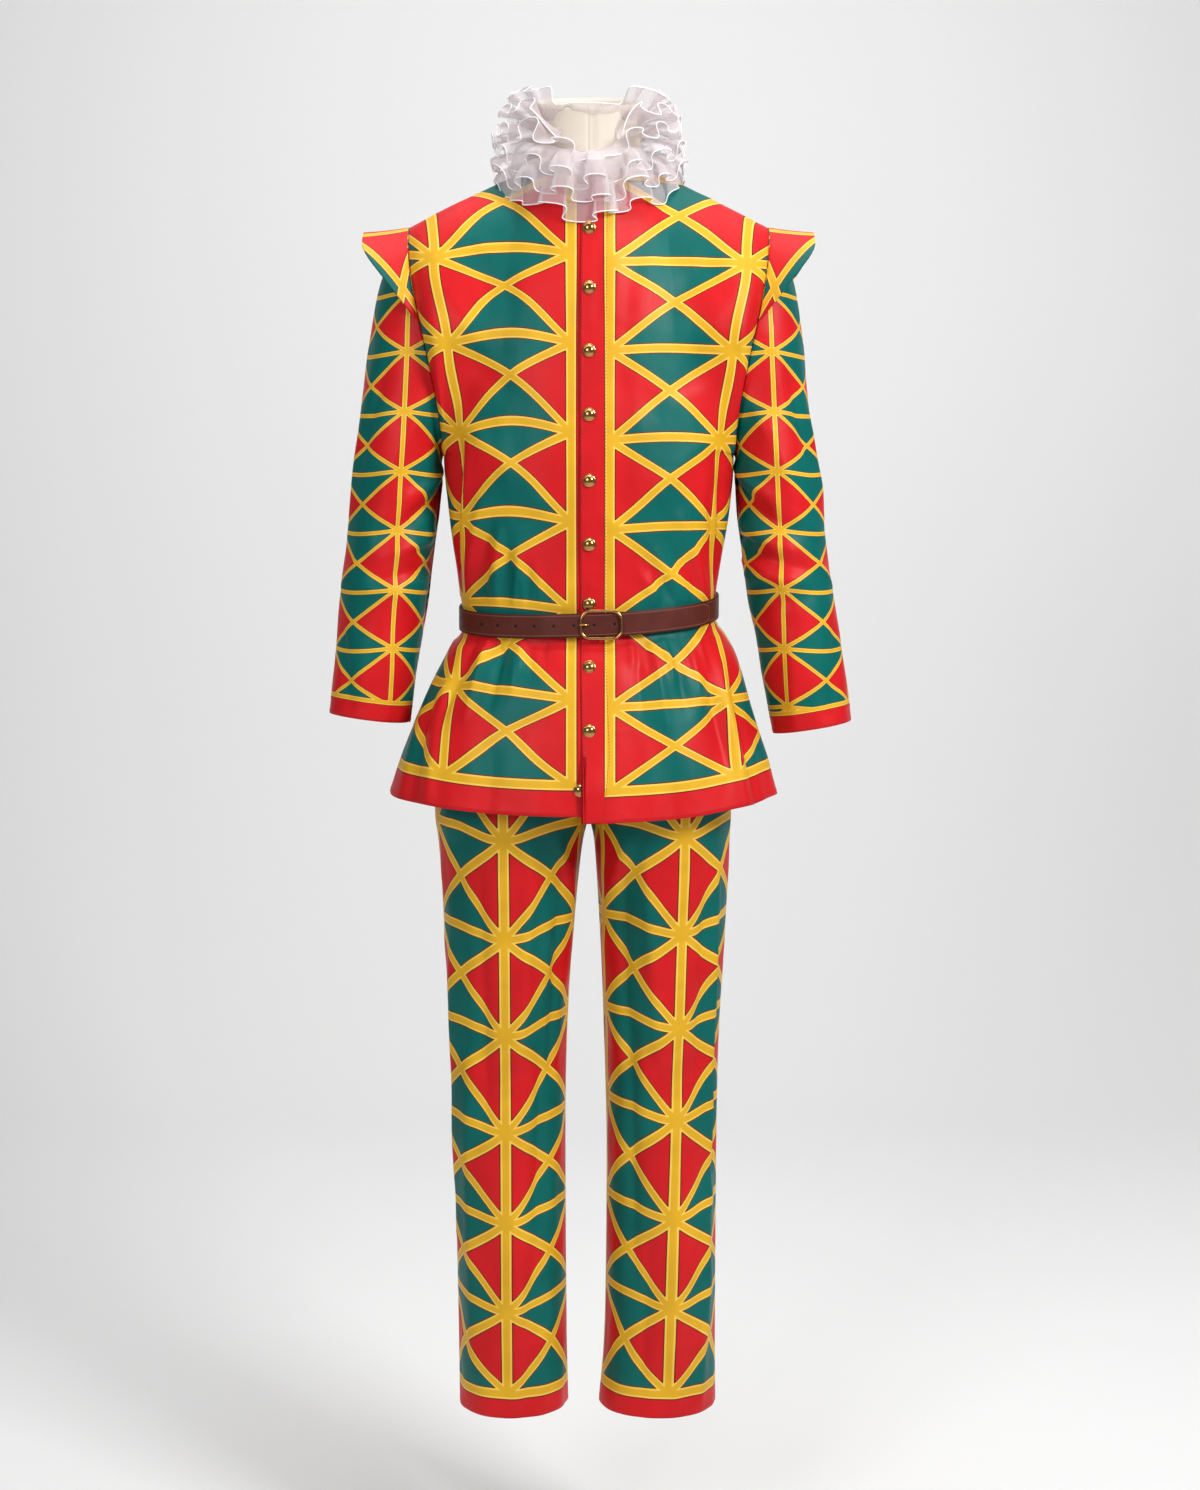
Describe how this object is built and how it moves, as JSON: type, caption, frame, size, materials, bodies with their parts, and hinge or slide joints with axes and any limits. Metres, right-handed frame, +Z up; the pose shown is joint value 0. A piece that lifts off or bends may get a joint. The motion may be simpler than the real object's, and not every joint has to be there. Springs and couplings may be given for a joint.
{
  "type": "jester costume",
  "caption": "Worn-form jester costume: lattice-patterned satin jacket with shoulder wings and trousers, brass buttons, leather belt and white organza ruff.",
  "frame": {"origin": "in the middle of the neck opening, level with the top of the shoulder seams, where the wearer's shoulders hold the jacket", "axes": "+Z up, -Y is the front of the costume, +X is the wearer's left"},
  "size_m": [0.6264, 0.3133, 1.5799],
  "materials": {
    "satin": "polyester satin printed with a red, green and gold lattice",
    "waistband": "plain red satin",
    "leather": "smooth dark brown",
    "brass": "polished",
    "organza": "sheer organza with white satin edges",
    "ruff_band": "cream cotton under sheer organza"
  },
  "bodies": {
    "root": {"jacket_front_left": "satin", "jacket_front_right": "satin", "jacket_back": "satin", "sleeve_left": "satin", "sleeve_right": "satin", "wing_left": "satin", "wing_right": "satin", "trouser_front_left": "satin", "trouser_back_left": "satin", "trouser_front_right": "satin", "trouser_back_right": "satin", "trouser_waistband": "waistband", "belt_strap": "leather", "belt_buckle": "brass", "belt_prong": "brass", "button_01": "brass", "button_02": "brass", "button_03": "brass", "button_04": "brass", "button_05": "brass", "button_06": "brass", "button_07": "brass", "button_08": "brass", "button_09": "brass", "button_10": "brass", "ruff_band": "ruff_band", "ruff_tier_1": "organza", "ruff_tier_2": "organza", "ruff_tier_3": "organza", "ruff_tier_4": "organza"}
  },
  "joints": []
}
